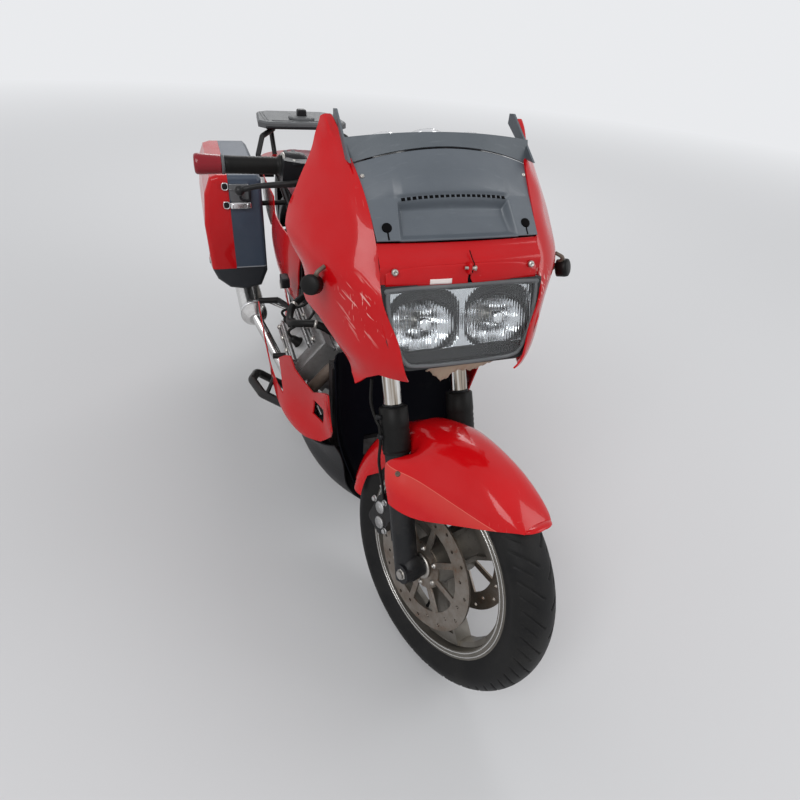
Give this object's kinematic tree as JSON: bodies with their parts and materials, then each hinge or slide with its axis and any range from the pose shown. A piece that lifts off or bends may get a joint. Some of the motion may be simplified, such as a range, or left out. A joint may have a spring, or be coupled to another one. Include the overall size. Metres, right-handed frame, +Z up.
{
  "type": "sport touring motorcycle",
  "caption": "Faired touring motorcycle on its centre stand, bars turned, screen and mirrors missing, with panniers, a rack and working steering, wheels, stands and lids.",
  "frame": {"origin": "on the floor, under the middle of the machine's length and width", "axes": "+Z up, +X to the rider's left, +Y to the rear"},
  "size_m": [0.8634, 2.2735, 1.238],
  "materials": {
    "red_paint": "gloss",
    "red_plastic": "gloss",
    "dark_red_rubber": "satin",
    "black_plastic": "matte",
    "grey_plastic": "matte",
    "slate_plastic": "satin",
    "black_metal": "satin",
    "alloy": "cast",
    "wheel_alloy": "satin paint",
    "steel": "worn",
    "chrome": "polished",
    "tyre": "matte",
    "rubber": "matte",
    "seat": "satin",
    "glass": "clear",
    "red_lens": "gloss",
    "lamp_grey": "satin"
  },
  "bodies": {
    "frame": {"upper_fairing": "red_plastic", "nose_bridge": "red_plastic", "headlight_body": "lamp_grey", "headlight_glass": "glass", "inner_panel": "grey_plastic", "dash_strip": "grey_plastic", "instrument_cluster": "black_plastic", "lower_fairing_right": "red_plastic", "lower_fairing_left": "red_plastic", "belly_pan": "black_plastic", "radiator_duct": "black_plastic", "radiator": "black_metal", "main_frame": "black_metal", "crankcase": "alloy", "cylinder_heads": "alloy", "swingarm": "black_metal", "rear_axle": "steel", "rear_caliper": "black_metal", "tank_cover": "red_paint", "rider_seat": "seat", "passenger_seat": "seat", "side_covers": "red_plastic", "tail_cowl": "red_plastic", "tail_lamp": "red_lens", "rear_mudguard": "black_plastic", "pannier_cases": "slate_plastic", "pannier_latches": "chrome", "luggage_plate": "grey_plastic", "grab_rails": "black_metal", "exhausts": "chrome", "crash_bars": "black_metal", "pivot_bolts": "steel", "side_stand_bracket": "black_metal", "panel_stays": "black_metal", "footrests": "black_metal", "foot_controls": "black_metal", "fairing_stay": "black_metal"},
    "steering": {"fork_tubes": "chrome", "fork_sliders": "black_metal", "fork_boots": "rubber", "fork_yokes": "black_metal", "front_axle": "steel", "front_mudguard": "red_plastic", "front_calipers": "black_metal", "handlebars": "black_metal", "grips": "rubber", "bar_end_weights": "dark_red_rubber", "switch_pods": "black_plastic", "hand_levers": "black_metal"},
    "front_wheel": {"front_tyre": "tyre", "front_rim": "wheel_alloy", "front_brake_discs": "steel"},
    "rear_wheel": {"rear_tyre": "tyre", "rear_rim": "wheel_alloy", "rear_brake_disc": "steel"},
    "centre_stand": {"centre_stand": "black_metal"},
    "side_stand": {"side_stand": "black_metal"},
    "right_pannier_lid": {"pannier_lid_right": "red_plastic"},
    "left_pannier_lid": {"pannier_lid_left": "red_plastic"}
  },
  "joints": [
    {"name": "steering", "type": "hinge", "parent": "frame", "child": "steering", "pos_m": [0, -0.9269, 0], "axis": [0, 0.4617, 0.887], "range_deg": [-49, 11]},
    {"name": "front_wheel_spin", "type": "hinge", "parent": "steering", "child": "front_wheel", "pos_m": [0.01843, -0.82316, 0.31518], "axis": [0.9455, 0.2888, -0.1503], "continuous": true},
    {"name": "rear_wheel_spin", "type": "hinge", "parent": "frame", "child": "rear_wheel", "pos_m": [0, 0.7291, 0.343], "axis": [1, 0, 0], "continuous": true},
    {"name": "centre_stand", "type": "hinge", "parent": "frame", "child": "centre_stand", "pos_m": [0, 0.1881, 0.318], "axis": [1, 0, 0], "range_deg": [0, 75]},
    {"name": "side_stand", "type": "hinge", "parent": "frame", "child": "side_stand", "pos_m": [0.246, -0.0639, 0.268], "axis": [1, 0, 0], "range_deg": [-100, 0]},
    {"name": "right_pannier_lid", "type": "hinge", "parent": "frame", "child": "right_pannier_lid", "pos_m": [-0.426, 0.6741, 0.555], "axis": [0, -1, 0], "range_deg": [0, 80]},
    {"name": "left_pannier_lid", "type": "hinge", "parent": "frame", "child": "left_pannier_lid", "pos_m": [0.426, 0.6741, 0.555], "axis": [0, 1, 0], "range_deg": [0, 80]}
  ]
}
